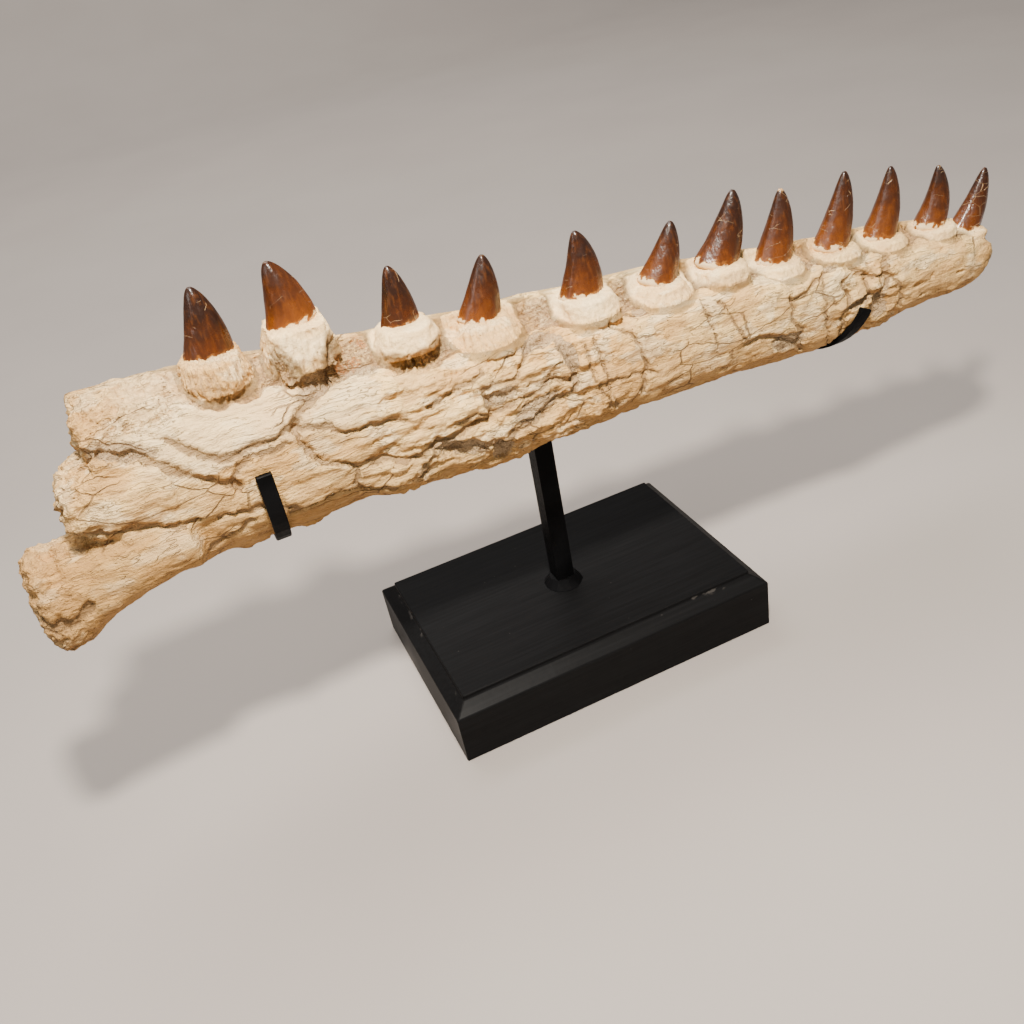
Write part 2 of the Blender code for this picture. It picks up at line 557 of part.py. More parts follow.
def main():
    clear_scene()
    parts = new_collection(COLLECTION_NAME)
    cutters = new_collection("cutters", hidden=True)
    bone = material("fossil_bone", (0.66, 0.52, 0.36), 0.85)
    enamel = material("tooth_enamel", (0.33, 0.13, 0.035), 0.25)
    paint = material("painted_wood", (0.012, 0.012, 0.013), 0.35)
    steel = material("black_steel", (0.015, 0.015, 0.016), 0.4, 0.2)
    jaw = add_jaw(parts, bone)
    add_teeth(jaw, parts, cutters, enamel)
    add_board(parts, paint)
    add_post(parts, cutters, steel)
    rail_middle = ((RAIL_START + RAIL_END) / 2, POST_Y, RAIL_BOTTOM + BAR / 2)
    rail = object_from(bar_mesh((RAIL_END - RAIL_START, BAR, BAR), rail_middle), "rail", parts, steel)
    add_bevel(rail, 0.6 * MM, 1)
    add_clip("clip_left", jaw, LEFT_CLIP, parts, cutters, steel)
    add_clip("clip_right", jaw, RIGHT_CLIP, parts, cutters, steel)


main()
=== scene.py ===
"""The finished look of the fossil mosasaur jaw on its stand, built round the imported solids.

The jaw bone and the crowns are modelled again from the part's own dimensions with fine relief, and each replaces
its solid. The board, post, rail and clips keep their solids. Lengths are in metres, the scene is +Z up, +X runs
along the jaw towards its tip, and -Y is the side that is shown to the viewer.
"""

import bmesh
import bpy
import numpy as np
from mathutils import Matrix, Vector, noise


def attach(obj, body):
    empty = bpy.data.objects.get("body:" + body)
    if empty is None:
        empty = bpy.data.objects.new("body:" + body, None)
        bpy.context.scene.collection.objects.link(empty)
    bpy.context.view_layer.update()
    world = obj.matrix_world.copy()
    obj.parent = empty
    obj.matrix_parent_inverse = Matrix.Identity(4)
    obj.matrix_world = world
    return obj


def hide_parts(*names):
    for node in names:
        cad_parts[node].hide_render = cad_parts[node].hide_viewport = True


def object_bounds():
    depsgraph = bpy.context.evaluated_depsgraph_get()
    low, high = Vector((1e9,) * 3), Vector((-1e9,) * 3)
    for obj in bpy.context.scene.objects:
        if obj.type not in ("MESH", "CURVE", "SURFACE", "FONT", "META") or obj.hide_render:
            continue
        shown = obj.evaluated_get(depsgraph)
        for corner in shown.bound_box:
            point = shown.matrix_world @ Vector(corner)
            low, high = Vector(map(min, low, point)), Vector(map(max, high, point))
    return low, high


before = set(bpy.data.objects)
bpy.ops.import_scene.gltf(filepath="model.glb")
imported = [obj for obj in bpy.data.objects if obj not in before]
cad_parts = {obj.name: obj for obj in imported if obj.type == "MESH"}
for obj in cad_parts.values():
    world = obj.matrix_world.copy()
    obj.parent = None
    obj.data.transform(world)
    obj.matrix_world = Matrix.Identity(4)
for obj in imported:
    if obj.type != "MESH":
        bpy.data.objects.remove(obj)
cad_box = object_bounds()

MM = 0.001

# Jaw: a mid-plane, then stations along it in millimetres: place, underside, crest and half thickness
JAW_Y = -36 * MM
SECTION_POWER = 2.3  # 2 is an ellipse, more is boxier
BODY_STATIONS = (
    (-240, 177, 281, 30), (-200, 182, 279, 31), (-160, 181, 275.5, 30.7), (-120, 182, 269.5, 30.2),
    (-80, 176.5, 264.5, 29.8), (-40, 174, 260, 29.4), (0, 175.5, 256, 29), (40, 175, 251, 28.4),
    (80, 174.5, 249, 27.7), (120, 173, 243, 27.1), (160, 170, 235.5, 26.4), (200, 172, 230.5, 25.8),
    (240, 173.5, 224.5, 25.2), (280, 175.5, 216, 23.5), (312, 178, 206, 21),
)
LOBE_Y = -47 * MM  # the two lower lobes are broken flakes of the shown side
MIDDLE_LOBE_STATIONS = ((-257, 228, 246, 17), (-250, 221, 252, 20), (-237, 215, 257, 21), (-195, 215, 262, 22))
LOWER_LOBE_STATIONS = (
    (-287, 170, 213, 17), (-280, 167.5, 218, 20), (-268, 167.5, 219, 21), (-255, 175, 220, 21),
    (-240, 182, 222, 22), (-225, 185, 224, 23), (-195, 186, 226, 24),
)
BODY_ENDS = (-238, 4, 306, 24)  # start, length of its rounding, end, length of its rounding
MIDDLE_LOBE_ENDS = (-257.5, 5, -200, 8)
LOWER_LOBE_ENDS = (-286.5, 7, -200, 8)
LOBE_SPLITS = (256, 217)  # heights in millimetres between the upper, the middle and the lower lobe
# The front plate ends below the crest, and the teeth stand in the channel behind it: place along the jaw, and how
# far the plate's edge lies below the crest, in millimetres
EDGE_DROPS = (
    (-240, 1), (-200, 2), (-170, 6), (-120, 6), (-80, 9), (-40, 11), (0, 10), (40, 12), (80, 10), (120, 8),
    (160, 6.5), (200, 6), (240, 3.5), (270, 2), (290, 5), (312, 5),
)
EDGE_START, EDGE_FULL, WALL_START, WALL_TOP = 25, 60, 84, 102  # degrees round the section
PLATE_EDGE, PLATE_DIP = 59, 13  # degrees round the section: the plate's edge, and how much lower it is by a tooth
RING_POINTS = 144
RING_STEP = 2.0  # millimetres between sections of the plain form
END_RINGS = 14
END_TURN = 0.15  # radians into an end's rounding where its first ring stands

# Teeth in millimetres: base centre along the jaw, base height, tip along the jaw, tip height, base half width,
# sideways bow of the crown's middle, then the pedestal's half widths at its rim, its bulge and its foot, and its
# depth below the base
TEETH = (
    (-169, 281, -167, 314, 12.4, 1.5, 14, 16, 15, 17),
    (-127.5, 284.5, -131, 315, 13.0, 1.5, 14.5, 17, 17.5, 22),
    (-76, 266, -76, 296, 10.5, 1.0, 12.5, 17, 14, 15),
    (-35, 255, -27, 287, 12.0, 1.5, 13, 16.5, 20, 12),
    (24, 250, 25, 284, 13.0, 2.5, 14, 16, 17.5, 12),
    (70, 242, 82, 273, 11.8, 2.0, 13, 15.5, 17, 10),
    (108, 240.5, 122, 279, 13.5, 3.0, 14.5, 16, 15.5, 9),
    (146, 231, 153, 271, 12.3, 2.5, 13, 14.5, 16, 8),
    (187, 227, 197, 269, 11.8, 2.5, 13, 15, 15, 6),
    (222, 222.5, 230, 263, 11.5, 3.0, 12.5, 14, 14, 6),
    (261, 219, 266, 254, 11.0, 3.5, 12, 13, 13, 7),
    (289, 208, 303, 243, 10.5, 2.5, 10.5, 10.5, 10, 6),
)
# How each pedestal differs: the depth of its upright ribs in millimetres, how square it is (2 is round), and how
# white it is
PEDESTAL_LOOKS = (
    (1.5, 2.2, 0.0), (1.2, 4.0, 0.4), (0.3, 2.8, 0.5), (1.2, 2.2, 0.2), (0.5, 2.6, 0.6), (0.6, 2.4, 0.4),
    (0.4, 2.5, 0.4), (0.5, 2.3, 0.4), (0.6, 2.4, 0.2), (0.4, 2.2, 0.3), (0.3, 2.2, 0.5), (0.3, 2.2, 0.4),
)
PEDESTAL_Y = -39 * MM
PEDESTAL_DEPTH_SHARE = 1.12
PEDESTAL_RIM, PEDESTAL_ROOT, PEDESTAL_ROOT_SHARE = 1.0, 8.0, 0.6
PEDESTAL_RIBS, RIB_WAVER = 13, 2.5  # pairs of ribs round a pedestal, and how far noise turns them
PEDESTAL_SIDES = 96
CROWN_DEPTH_SHARE = 0.82
CROWN_TAPER = 0.55
CROWN_SINK = 2.0
CROWN_RINGS, CROWN_SIDES = 60, 96
CROWN_LAST_RING, CROWN_RING_POWER = 0.03, 1.3  # the last ring's share of the way from the tip, and the spacing
CROWN_FACETS, FACET_DEPTH, WEAR_SIZE, WEAR_DEPTH = 9, 0.012, 6, 0.02  # depths are shares of the width
ROOT_SHARE = 0.9
CARINA_POWER = 1.8
# How each crown differs: darkness, share of pale crackle, how much of the tip is chipped pale, and a seed
CROWN_LOOKS = (
    (0.85, 0.3, 0.0, 1), (0.38, 0.2, 0.1, 2), (0.95, 0.3, 0.1, 3), (0.6, 0.2, 0.1, 4), (0.62, 0.1, 0.0, 5),
    (0.5, 0.1, 0.0, 6), (0.75, 0.35, 0.0, 7), (0.45, 0.7, 0.55, 8), (0.45, 0.4, 0.0, 9), (0.35, 0.3, 0.0, 10),
    (0.5, 0.6, 0.1, 11), (0.55, 0.9, 0.0, 12),
)

# Relief
FINE_VOXEL = 1.0 * MM
FINE_TRIANGLES = 196000  # kept by thinning out the far side alone
FAR_SIDE_FROM = 4 * MM  # behind the jaw's mid-plane
MM_PER_DEGREE = 0.7  # round the jaw's section, for distances on its surface
LEDGE_REACH, LEDGE_SHARE = 7.0, 0.8  # how far in millimetres a ledge runs back from its groove, and its height
SEAM_CORE = 0.65  # the share of a groove's half width that its dark filling takes
FRACTAL = (0.75, 2.1)  # how much finer noise counts for less, and how much finer each layer of it is
BACK_FROM = 112  # degrees round the section where the far side starts

# Grooves between the plates of bone, on the side that is shown. Each has a half width and a depth in
# millimetres, the ledge by which the bone above it stands proud, and its points: place along the jaw in
# millimetres, and degrees round the section, with 0 at the front and 90 on the crest
GROOVES = (
    (2.4, 2.4, 1.0, ((-240, 42), (-230, 38), (-215, 31), (-207, 22), (-200, 13), (-193, 8), (-186, 2),
                     (-179, -4))),
    (1.8, 1.6, 1.0, ((-200, 33), (-188, 19), (-178, 15), (-160, 17), (-150, 21), (-144, 24))),
    (1.6, 1.5, 1.0, ((-258, 2), (-250, 0), (-238, -4), (-225, -8), (-212, -14), (-200, -16))),
    (1.6, 1.4, 0.5, ((-180, -4), (-176, 8), (-168, 11), (-152, 13))),
    (1.5, 1.2, 0.4, ((-192, -20), (-180, -21), (-168, -23), (-156, -30))),
    (2.2, 2.6, 0.0, ((-286, -37), (-270, -37), (-261, -34))),
    (1.4, 1.0, 0.3, ((-202, -43), (-185, -35), (-178, -30))),
    (2.4, 2.4, 1.2, ((-144, 24), (-140, 30), (-134, 34), (-128, 41), (-122, 50), (-116, 57), (-110, 66))),
    (1.6, 1.5, 0.8, ((-145, 20), (-137, 20), (-130, 17), (-124, 12), (-115, 10), (-105, 11), (-98, 13),
                     (-92, 9))),
    (2.0, 2.0, -0.8, ((-145, 17), (-143, 8), (-141, 0), (-136, -7), (-130, -11), (-120, -16), (-108, -17),
                      (-98, -20), (-88, -20), (-80, -13), (-70, -13), (-58, -8), (-50, -7))),
    (1.6, 1.6, 0.5, ((-160, -34), (-140, -34), (-130, -35), (-118, -40), (-97, -43), (-90, -40), (-86, -28),
                     (-80, -19))),
    (1.4, 1.2, 0.3, ((-123, -15), (-122, -22), (-124, -30), (-121, -38))),
    (3.2, 1.8, 0.4, ((-80, -16), (-68, -24), (-56, -27), (-47, -26), (-42, -36), (-43, -48))),
    (1.8, 1.6, 0.9, ((-50, -6), (-47, 0), (-49, 8), (-50, 15), (-45, 17), (-32, 17), (-26, 24), (-22, 35),
                     (-16, 43), (-8, 49))),
    (1.6, 1.6, 0.7, ((-78, 14), (-70, 18), (-62, 21), (-54, 23), (-47, 29))),
    (1.6, 1.4, -0.6, ((-66, -3), (-55, -1), (-45, -2), (-35, 0), (-24, 3), (-14, 6))),
    (2.2, 2.0, 0.9, ((-44, -28), (-35, -22), (-20, -17), (-10, -10), (-1, -8), (3, -2), (1, 12), (0, 24),
                     (-2, 35))),
    (1.6, 1.5, 0.6, ((-24, 10), (-12, 9), (-7, 4), (2, 3))),
    (1.0, 1.0, 0.2, ((10, 30), (12, 20), (11, 10), (13, 0), (16, -12), (19, -22), (21, -32))),
    (1.0, 1.0, -0.2, ((17, 30), (17, 20), (19, 10), (20, 0), (21, -12), (23, -25), (25, -35))),
    (1.3, 1.5, 0.4, ((28, 40), (33, 32), (38, 25), (41, 18), (42, 8), (44, 0), (44, -8), (41, -15), (41, -30))),
    (1.0, 1.0, 0.4, ((14, -8), (22, -7), (30, -9), (38, -8), (52, -13))),
    (1.4, 1.4, 0.6, ((42, 52), (50, 45), (58, 43), (65, 40))),
    (1.0, 0.8, 0.2, ((83, 33), (86, 20), (88, 0), (89, -10))),
    (1.0, 0.9, 0.2, ((95, 32), (98, 22), (101, 10), (105, 0), (107, -10))),
    (2.2, 1.6, 0.8, ((110, -15), (118, -12), (126, -15), (134, -18), (140, -26), (147, -34), (152, -46))),
    (2.2, 1.6, -0.5, ((140, 20), (142, 10), (141, 0), (143, -8), (148, -17), (146, -28))),
    (1.8, 1.5, 0.6, ((140, 18), (148, 20), (153, 25), (160, 33), (170, 42))),
    (2.0, 2.2, 0.9, ((176, 52), (182, 42), (186, 35), (190, 30), (195, 24), (200, 20), (210, 18))),
    (0.9, 0.8, 0.2, ((163, 32), (163, 20), (164, 5), (163, -8), (166, -20), (168, -32), (172, -52))),
    (1.4, 1.2, 0.5, ((176, 26), (179, 12), (181, 3), (176, -6), (177, -25), (178, -40))),
    (2.2, 1.8, 0.8, ((181, -7), (190, -5), (196, 0), (195, 8), (194, 18))),
    (2.4, 1.6, 0.6, ((208, 60), (211, 40), (209, 25), (210, 10), (206, 0), (203, -12), (205, -28))),
    (1.4, 1.2, 0.4, ((212, 15), (216, 5), (219, -5), (221, -18), (221, -32))),
)
# Pits in millimetres: half length, half width, depth, then their place as for a groove
PITS = (
    (4.5, 2.2, 3.0, 233, -7), (3.0, 1.8, 1.8, 265, -8), (1.6, 1.4, 1.2, 235, 17), (1.2, 3.0, 1.2, 243, -1),
    (2.5, 1.6, 1.4, 237, -26), (1.4, 1.4, 1.0, 253, 33), (4.0, 3.0, 2.0, 281, 52), (2.4, 2.0, 1.6, 200, 39),
    (2.4, 1.8, 1.6, -194, 47), (3.0, 2.4, 2.0, -258, 16), (4.0, 2.6, 2.2, -270, -20), (3.0, 2.2, 1.8, -246, 22),
)
# Patches of grey rock left between the plates: half length and half width in millimetres, tilt in degrees, place
MATRIX_PATCHES = (
    (15, 5, -20, -66, -24), (6, 9, 0, -44, -38), (14, 7, 15, -14, 44), (5, 14, 10, 0, 26), (12, 7, 0, 140, -26),
    (10, 4, 10, 188, -4), (6, 12, 0, 204, -20), (14, 5, 15, -22, -10), (10, 4, 10, -40, 8), (12, 5, 30, -128, 46),
    (8, 6, 0, -104, 58), (16, 4, -15, -222, 36), (8, 6, 20, 176, 46), (6, 5, 0, 52, 52),
)
STEP_FLAT = 0.78  # how much of each flake's step is flat
STEP_MIDDLE = STEP_FLAT / 2  # brings the steps back to the values' own middle
FAR = 20.0  # millimetres: further than any groove or patch of rock is felt
ROCK_DEPTH, LIP_HEIGHT, CHANNEL_DEPTH, STRAP_RELIEF = 1.5, 0.7, 2.4, 0.1  # millimetres
BACK_SHIFT = 34  # millimetres: the far side repeats the grooves turned end for end about this place
LUMP_SIZE, LUMP_HEIGHT = 26, 1.5  # millimetres, as are all the reliefs below
BREAK_SIZE, BREAK_HEIGHT = 7, 2.4
BREAK_REACH = 22  # millimetres that broken bone runs in from the back end of each lobe
# Where the straps lie, in millimetres along the jaw, and how far from a strap's middle the relief is held down
LEFT_STRAP_X, RIGHT_STRAP_X, STRAP_CLEAR = -166, 191.5, 6
# The right strap's tip in degrees round the section, and its lean in millimetres for each degree below that
RIGHT_STRAP_TIP, RIGHT_STRAP_LEAN = -12, 0.275

# Camera: its lens and its sensor's width in millimetres, its place, and the directions of its right, top and back
CAMERA_LENS, CAMERA_SENSOR = 34.77, 36
CAMERA_PLACE = (-0.1848, -0.4941, 0.4536)
CAMERA_RIGHT = (0.89956, -0.40378, -0.16658)
CAMERA_UP = (0.35580, 0.45616, 0.81567)
CAMERA_BACK = (-0.25337, -0.79302, 0.55401)


def mesh_piece(name, mesh, finish):
    """A new piece of the scene that moves with the part's one body."""
    made = bpy.data.objects.new(name, mesh)
    bpy.context.scene.collection.objects.link(made)
    mesh.materials.clear()
    mesh.materials.append(finish)
    mesh.shade_smooth()
    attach(made, "root")
    return made


def smooth_curve(stations, x):
    """The stations' other columns at x, along a smooth curve through them."""
    table = np.array(stations, float)
    places, values = table[:, 0], table[:, 1:]
    slopes = np.gradient(values, places, axis=0)
    x = np.clip(x, places[0], places[-1])
    i = int(np.clip(np.searchsorted(places, x) - 1, 0, len(places) - 2))
    step = places[i + 1] - places[i]
    t = (x - places[i]) / step
    return (
        (2 * t**3 - 3 * t**2 + 1) * values[i]
        + (t**3 - 2 * t**2 + t) * step * slopes[i]
        + (3 * t**2 - 2 * t**3) * values[i + 1]
        + (t**3 - t**2) * step * slopes[i + 1]
    )


def smooth_step(low, high, value):
    """0 below low, 1 above high, and a smooth rise between."""
    share = np.clip((value - low) / (high - low), 0, 1)
    return share * share * (3 - 2 * share)


def section_point(middle, half_height, half_thickness, angle, mid_plane=JAW_Y):
    """A section's point across and up, in millimetres. The angle round it is 0 at the front and 90 degrees at
    the crest."""
    forward, up = np.cos(angle), np.sin(angle)
    reach = (abs(forward) ** SECTION_POWER + abs(up) ** SECTION_POWER) ** (-1 / SECTION_POWER)
    return mid_plane / MM - half_thickness * reach * forward, middle + half_height * reach * up


def close_rings(bm, rings):
    """Sides between one ring of vertices and the next, and a cap on each end."""
    for near, far in zip(rings, rings[1:]):
        for k in range(len(near)):
            m = (k + 1) % len(near)
            bm.faces.new((near[k], near[m], far[m], far[k]))
    bm.faces.new(rings[0])
    bm.faces.new(rings[-1])


def loft(bm, stations, ends, mid_plane=JAW_Y, edge_drops=((0, 0),)):
    """A closed form lofted through the stations, rounded off at both ends. Edge drops lower the front of its
    top."""
    start, start_round, end, end_round = ends
    turn = np.linspace(END_TURN, np.pi / 2, END_RINGS)
    places = np.concatenate([
        start + start_round * (1 - np.cos(turn)),
        np.arange(start + start_round + RING_STEP, end - end_round, RING_STEP),
        end - end_round * (1 - np.cos(turn[::-1])),
    ])
    angles = np.linspace(0, 2 * np.pi, RING_POINTS, endpoint=False)
    degrees = np.degrees(angles)
    lowered = smooth_step(EDGE_START, EDGE_FULL, degrees) * (1 - smooth_step(WALL_START, WALL_TOP, degrees))
    rings = []
    for x in places:
        low, high, half_thickness = smooth_curve(stations, x)
        past = max((start + start_round - x) / start_round, (x - end + end_round) / end_round, 0.0)
        shrink = np.sqrt(1 - past**2)
        middle, half_height = (low + high) / 2, (high - low) / 2
        sizes = middle, half_height * shrink, half_thickness * shrink
        drop = np.interp(x, *np.array(edge_drops, float).T) * shrink
        ring = []
        for angle, share in zip(angles, lowered):
            y, z = section_point(*sizes, angle, mid_plane)
            ring.append(bm.verts.new((x * MM, y * MM, (z - drop * share) * MM)))
        rings.append(ring)
    close_rings(bm, rings)


def add_pedestal(bm, tooth, squareness):
    """A stub of bone of attachment below the tooth's base: a rim, a bulge and a foot inside the jaw."""
    base_x, base_z, _, _, _, _, rim, bulge, foot, depth = tooth
    outline = (
        (PEDESTAL_RIM, rim - 1), (PEDESTAL_RIM / 2, rim), (-depth / 4, (rim + bulge) / 2), (-depth / 2, bulge),
        (-depth, foot), (-depth - PEDESTAL_ROOT, foot * PEDESTAL_ROOT_SHARE),
    )
    angles = np.linspace(0, 2 * np.pi, PEDESTAL_SIDES, endpoint=False)
    rings = []
    for rise, half_width in outline:
        ring = []
        for angle in angles:
            c, s = np.cos(angle), np.sin(angle)
            reach = half_width * (abs(c) ** squareness + abs(s) ** squareness) ** (-1 / squareness)
            x = base_x + reach * c
            y = PEDESTAL_Y / MM + reach * PEDESTAL_DEPTH_SHARE * s
            ring.append(bm.verts.new((x * MM, y * MM, (base_z + rise) * MM)))
        rings.append(ring)
    close_rings(bm, rings)


def section_coordinates(points):
    """For points in millimetres: places along the jaw, and degrees round its section from the front."""
    along = points[:, 0]
    steps = np.arange(-300, 331, 5.0)
    table = np.array([smooth_curve(BODY_STATIONS, x) for x in steps])
    low = np.interp(along, steps, table[:, 0])
    high = np.interp(along, steps, table[:, 1])
    half_thickness = np.interp(along, steps, table[:, 2])
    up = (points[:, 2] - (low + high) / 2) / ((high - low) / 2)
    forward = (JAW_Y / MM - points[:, 1]) / half_thickness
    return along, np.degrees(np.arctan2(up, forward))


def kept_in_box(points):
    """Points held to the solids' own box, so that no relief passes it."""
    return np.clip(points, *np.array(cad_box, float))


def noise_field(points, size, seed=0.0, stretch=(1, 1, 1), detail=0):
    """Smooth noise from -1 to 1 at points in millimetres, with features of the given size."""
    scaled = points / (np.array(stretch) * size) + seed
    if detail:
        return np.array([noise.fractal(Vector(p), *FRACTAL, detail) for p in scaled])
    return np.array([noise.noise(Vector(p)) for p in scaled])


def route_distance(u, v, route):
    """Distance in millimetres on the surface from a groove's route, and the side of it that each point is on."""
    ends = np.array(route, float) * (1, MM_PER_DEGREE)
    nearest = np.full(len(u), 1e3)
    side = np.zeros(len(u))
    for (x0, y0), (x1, y1) in zip(ends, ends[1:]):
        dx, dy = x1 - x0, y1 - y0
        share = np.clip(((u - x0) * dx + (v - y0) * dy) / (dx * dx + dy * dy), 0, 1)
        off_x, off_y = u - x0 - share * dx, v - y0 - share * dy
        away = np.hypot(off_x, off_y)
        closer = away < nearest
        nearest = np.where(closer, away, nearest)
        side = np.where(closer, np.sign(off_y * dx - off_x * dy), side)
    return nearest, side


def terraces(values):
    """Values turned into flat steps with short, steep rises, and no higher or lower on the whole."""
    whole = np.floor(values)
    return whole + STEP_MIDDLE + smooth_step(STEP_FLAT, 1.0, values - whole)


def stub_masks(points):
    """For each point: how far it belongs to a pedestal, how white that is, its ribs, and the plate's edge round
    the section in degrees."""
    stub, white, ribs = np.zeros(len(points)), np.zeros(len(points)), np.zeros(len(points))
    edge = np.full(len(points), float(PLATE_EDGE))
    for tooth, (rib, _, pale) in zip(TEETH, PEDESTAL_LOOKS):
        base_x, base_z, _, _, _, _, rim, bulge, foot, depth = tooth
        du, dv = points[:, 0] - base_x, (points[:, 1] - PEDESTAL_Y / MM) / PEDESTAL_DEPTH_SHARE
        radius = np.hypot(du, dv)
        reach = max(rim, bulge, foot)
        mask = np.clip((reach + 2.5 - radius) / 2, 0, 1) * np.clip((points[:, 2] - base_z + depth + 1) / 4, 0, 1)
        turn = np.arctan2(dv, du) * PEDESTAL_RIBS + RIB_WAVER * noise_field(points, 7, base_x)
        ribs += mask * rib * (np.abs(np.sin(turn)) - 0.6)
        stub = np.maximum(stub, mask)
        white = np.maximum(white, mask * pale * smooth_step(-0.75, -0.35, (points[:, 2] - base_z) / depth))
        edge = np.minimum(edge, PLATE_EDGE - PLATE_DIP * np.exp(-((du / (bulge + 2)) ** 4)))
    return stub, white, ribs, edge


def surface_places(points):
    """For each point: places along and round the jaw, both in millimetres and folded over for the far side, the
    same with ragged noise, the unfolded place along and the degrees round the section."""
    along, degrees = section_coordinates(points)
    behind = (degrees > BACK_FROM) | (degrees < BACK_FROM - 180)
    far_side = np.where(degrees > 0, 180 - degrees, -180 - degrees)
    u = np.where(behind, BACK_SHIFT - along, along)
    v = np.where(behind, far_side, degrees) * MM_PER_DEGREE
    ragged_u = u + 1.8 * noise_field(points, 6, 3.1) + 0.9 * noise_field(points, 2.4, 7.7)
    ragged_v = v + 1.5 * noise_field(points, 6, 11.3) + 0.8 * noise_field(points, 2.4, 17.9)
    return u, v, ragged_u, ragged_v, along, degrees


def groove_relief(u, v, widen):
    """The grooves' depth with the ledges beside them, and the distance from each point to the nearest filling."""
    height = np.zeros(len(u))
    seam = np.full(len(u), FAR)
    for half_width, depth, ledge, route in GROOVES:
        away, side = route_distance(u, v, route)
        width = half_width * widen
        height -= depth * np.exp(-((away / width) ** 4))
        height += ledge * side * np.exp(-away / LEDGE_REACH) * np.clip(away / width, 0, 1) * LEDGE_SHARE
        seam = np.minimum(seam, away - width * SEAM_CORE)
    return height, seam


def rock_distance(u, v):
    """The distance from each point to the edge of the nearest patch of rock, less than nothing inside it."""
    rock = np.full(len(u), FAR)
    for half_length, half_width, tilt, x, degree in MATRIX_PATCHES:
        turn = np.radians(tilt)
        du, dv = u - x, v - degree * MM_PER_DEGREE
        a = (du * np.cos(turn) + dv * np.sin(turn)) / half_length
        b = (dv * np.cos(turn) - du * np.sin(turn)) / half_width
        rock = np.minimum(rock, (np.hypot(a, b) - 1) * half_width)
    return rock


def near_a_strap(along, degrees):
    """Whether each point lies under a strap or just beside it."""
    left = (np.abs(along - LEFT_STRAP_X) < STRAP_CLEAR) & (degrees < 5) & (degrees > -100)
    right_x = RIGHT_STRAP_X + RIGHT_STRAP_LEAN * (degrees - RIGHT_STRAP_TIP)
    right = (np.abs(along - right_x) < STRAP_CLEAR + 2) & (degrees < RIGHT_STRAP_TIP + 8) & (degrees > -110)
    return left | right


def jaw_relief(points):
    """The relief in millimetres along each point's normal, and the masks that the bone's finish reads."""
    u, v, ragged_u, ragged_v, along, degrees = surface_places(points)
    height, seam = groove_relief(ragged_u, ragged_v, 1 + 0.7 * noise_field(points, 10, 23.3))
    for half_length, half_width, depth, x, degree in PITS:
        far = ((u - x) / half_length) ** 2 + ((v - degree * MM_PER_DEGREE) / half_width) ** 2
        height -= depth * np.exp(-(far**1.5))
    rock = rock_distance(ragged_u, ragged_v)
    height -= ROCK_DEPTH * np.clip(0.5 - rock / ROCK_DEPTH, 0, 1)

    # broken ends, pedestals, and the channel between them
    splits = [points[:, 2] > split for split in LOBE_SPLITS]
    lobe_end = np.select(splits, [BODY_ENDS[0], MIDDLE_LOBE_ENDS[0]], LOWER_LOBE_ENDS[0])
    broken = np.clip(1.3 - (along - lobe_end) / BREAK_REACH, 0, 1)
    upper_edge = np.clip((-180 - along) / 20, 0, 1) * np.clip((degrees - 36) / 12, 0, 1)
    broken = np.maximum(broken, upper_edge)
    stub, white, ribs, edge = stub_masks(points)
    ragged_degrees = degrees + (ragged_v - v) * 2.2
    sound = smooth_step(-212, -200, along) * (1 - broken)
    channel = smooth_step(-1, 1, ragged_degrees - edge) * (1 - smooth_step(92, 104, degrees))
    channel *= sound * (1 - stub)
    lip = np.exp(-(((edge - 4 - ragged_degrees) / 4) ** 2)) * sound
    height = (height + LIP_HEIGHT * lip) * (1 - stub) + ribs - CHANNEL_DEPTH * channel

    # flakes, lumps, crumbs and fibres
    flaky = 0.2 + 0.8 * smooth_step(-125, -95, u) * (1 - smooth_step(0, 40, u))
    flaky = np.maximum(flaky, smooth_step(165, 180, u) * (1 - smooth_step(215, 230, u)))
    flaky *= (1 - stub) * (1 - broken)
    layers = noise_field(points, 15, 31.7, (2.2, 1, 1), detail=3) * 3.2
    height += flaky * terraces(layers)
    chips = terraces(noise_field(points, 7, 41.0, (2.6, 1, 1), detail=3) * 3.4)
    height += (0.1 + 0.4 * flaky) * chips * (1 - stub)
    height += 0.7 * broken * terraces(noise_field(points, 6, 61.0, detail=2) * 2.5)
    height += LUMP_HEIGHT * noise_field(points, LUMP_SIZE, detail=3)
    height += (0.45 * broken + 0.6 * upper_edge) * BREAK_HEIGHT * noise_field(points, BREAK_SIZE, detail=3)
    crumbs = noise_field(points, 3.0, 5.5, detail=3)
    height += (0.12 + 0.45 * broken + 0.5 * upper_edge + 0.5 * stub + 1.5 * channel) * crumbs
    height += 0.22 * noise_field(points, 2.6, 9.5, (6, 1, 1)) * (1 - broken) * (1 - stub)
    height = np.where(near_a_strap(along, degrees), np.minimum(height, STRAP_RELIEF), height)

    # where the colour turns pale, tan or rusty; the tan on the lower front face is partly painted shade
    plate = smooth_step(-222, -205, along) * smooth_step(-104, -116, along) * smooth_step(8, 22, degrees)
    white = np.maximum(white, 0.6 * plate * (1 - channel) * (1 - stub))
    rust_zone = smooth_step(-116, -108, along) * smooth_step(-84, -92, along)
    tan = smooth_step(-190, -215, along) * smooth_step(224, 214, points[:, 2])
    tan = np.maximum(tan, 0.7 * smooth_step(-18, -50, degrees) + 0.25 * smooth_step(-60, -130, along))
    masks = {
        "tan": tan * (1 - stub), "seam": seam + FAR * stub, "rock": rock + FAR * stub, "broken": broken,
        "white": white, "stub": stub, "channel": channel,
        "blotch": noise_field(points, 38, 2.2, (1.6, 1, 1), 3),
        "patch": noise_field(points, 12, 8.4, (1.8, 1, 1), 3),
        "crack_zone": smooth_step(0.05, 0.25, noise_field(points, 30, 12.6)) * (1 - stub),
        "rust": rust_zone * noise_field(points, 8, 21.5, detail=3),
    }
    return height, masks


